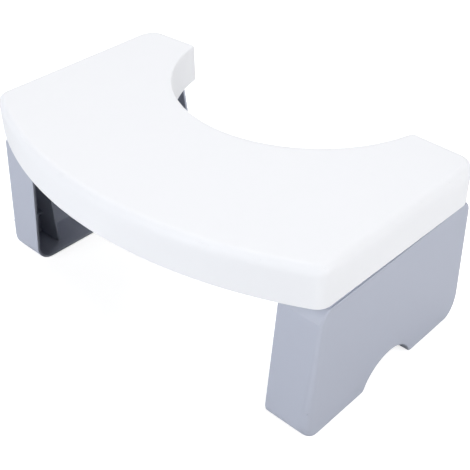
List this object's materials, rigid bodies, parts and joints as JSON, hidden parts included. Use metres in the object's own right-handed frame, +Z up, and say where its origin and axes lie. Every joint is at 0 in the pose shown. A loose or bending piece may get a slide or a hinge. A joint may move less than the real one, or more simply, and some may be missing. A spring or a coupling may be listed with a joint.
{
  "type": "folding toilet footstool",
  "caption": "Low footstool that stands round a toilet bowl: a moulded seat with a deep skirt and a curved cut-out, on two tray-shaped legs that fold in under it.",
  "frame": {"origin": "on the floor, under the middle of the stool's box", "axes": "+Z up, +X to the right of someone who faces the stool from its curved front edge, -Y the front edge, +Y the side with the cut-out for the toilet bowl"},
  "size_m": [0.392, 0.256, 0.17],
  "materials": {
    "seat_plastic": "satin white moulding, polypropylene",
    "leg_plastic": "satin light blue-grey moulding, polypropylene",
    "catch_plastic": "natural acetal",
    "zinc_steel": "zinc plated",
    "spring_steel": "dark phosphated spring steel",
    "pad_rubber": "matt grey rubber"
  },
  "bodies": {
    "root": {"seat_shell": "seat_plastic", "leg_catch_left": "catch_plastic", "leg_catch_right": "catch_plastic", "catch_screw_left_front": "zinc_steel", "catch_screw_left_rear": "zinc_steel", "catch_screw_right_front": "zinc_steel", "catch_screw_right_rear": "zinc_steel", "hinge_pin_left_front": "zinc_steel", "hinge_pin_left_rear": "zinc_steel", "hinge_pin_right_front": "zinc_steel", "hinge_pin_right_rear": "zinc_steel", "push_nut_left_front": "spring_steel", "push_nut_left_rear": "spring_steel", "push_nut_right_front": "spring_steel", "push_nut_right_rear": "spring_steel"},
    "leg_left": {"leg_left": "leg_plastic", "foot_pad_left_front": "pad_rubber", "foot_pad_left_rear": "pad_rubber"},
    "leg_right": {"leg_right": "leg_plastic", "foot_pad_right_front": "pad_rubber", "foot_pad_right_rear": "pad_rubber"}
  },
  "joints": [
    {"name": "fold_left", "type": "hinge", "parent": "root", "child": "leg_left", "pos_m": [-0.14704, 0.01915, 0.1349], "axis": [0, -1, 0], "range_deg": [0, 90]},
    {"name": "fold_right", "type": "hinge", "parent": "root", "child": "leg_right", "pos_m": [0.14704, 0.01915, 0.1349], "axis": [0, 1, 0], "range_deg": [0, 90]}
  ]
}
